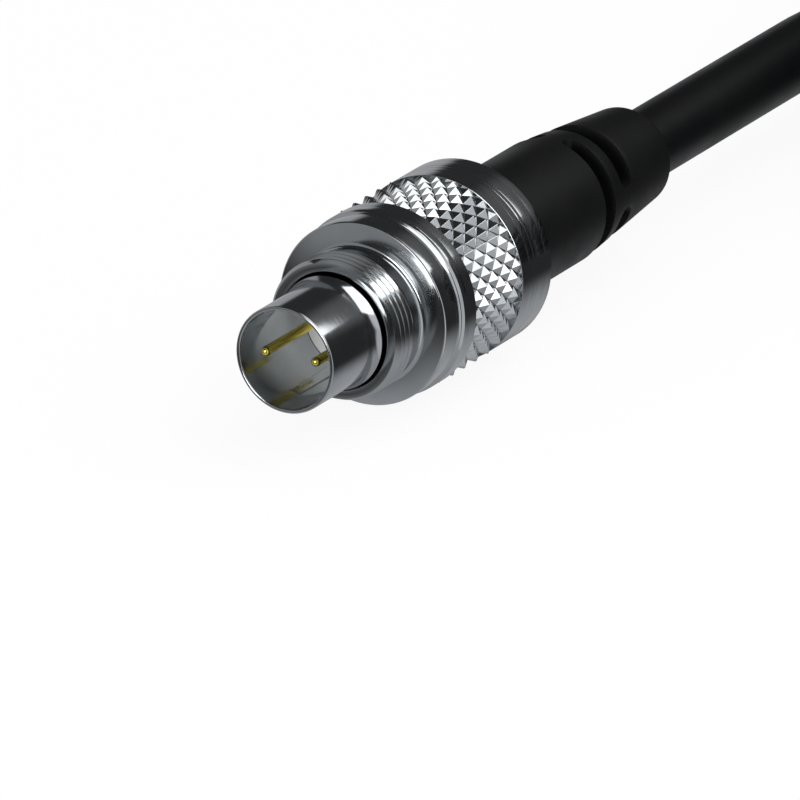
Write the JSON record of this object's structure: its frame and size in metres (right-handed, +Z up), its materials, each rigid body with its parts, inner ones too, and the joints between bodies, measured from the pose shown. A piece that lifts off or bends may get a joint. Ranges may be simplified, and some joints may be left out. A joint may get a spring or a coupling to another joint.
{
  "type": "moulded circular cable plug with screw-locking ring",
  "caption": "Round metal cable plug: open shield tube round two contact pins, knurled screw-locking ring, slotted moulded strain relief and screened lead.",
  "frame": {"origin": "under the middle of the plug's length, on the surface that the plug lies on, lead and coil left out", "axes": "+Y along the plug from its open mouth towards its lead, +Z up, +X to the side of the lead's coil"},
  "size_m": [0.0675, 0.1248, 0.023],
  "materials": {
    "shield_metal": "bright dark nickel plate, turned",
    "ring_metal": "bright dark nickel plate, turned and knurled",
    "spring_steel": "drawn spring steel",
    "shell_metal": "nickel plate, turned",
    "contact_gold": "gold plate, polished",
    "insert_plastic": "moulded, fine grain",
    "retainer_plastic": "moulded",
    "mould_plastic": "moulded",
    "seal_rubber": "smooth moulded rubber",
    "ferrule_metal": "nickel plate, crimped",
    "braid_metal": "tinned copper braid",
    "relief_rubber": "matt moulded polyurethane",
    "jacket_plastic": "smooth satin extruded jacket",
    "core_brown": "extruded insulation",
    "core_white": "extruded insulation",
    "copper": "tinned copper strand",
    "tie_plastic": "moulded nylon"
  },
  "bodies": {
    "plug": {"shield_tube": "shield_metal", "ring_seal": "seal_rubber", "body_shell": "shell_metal", "contact_insert": "insert_plastic", "contact_retainer": "retainer_plastic", "contact_pin_left": "contact_gold", "contact_pin_right": "contact_gold", "inner_mould": "mould_plastic", "crimp_ferrule": "ferrule_metal", "screen_braid": "braid_metal", "strain_relief": "relief_rubber", "cable_jacket": "jacket_plastic", "core_left": "core_brown", "core_right": "core_white", "conductor_left": "copper", "conductor_right": "copper", "cable_lead": "jacket_plastic", "cable_coil": "jacket_plastic", "coil_tie": "tie_plastic", "cable_tail": "jacket_plastic", "tail_core_inner": "core_brown", "tail_core_outer": "core_white", "tail_conductor_inner": "copper", "tail_conductor_outer": "copper"},
    "ring": {"locking_ring": "ring_metal", "retaining_ring": "spring_steel"}
  },
  "joints": [
    {"name": "ring_turn", "type": "hinge", "parent": "plug", "child": "ring", "pos_m": [0, -0.005, 0.00605], "axis": [0, 1, 0], "continuous": true}
  ]
}
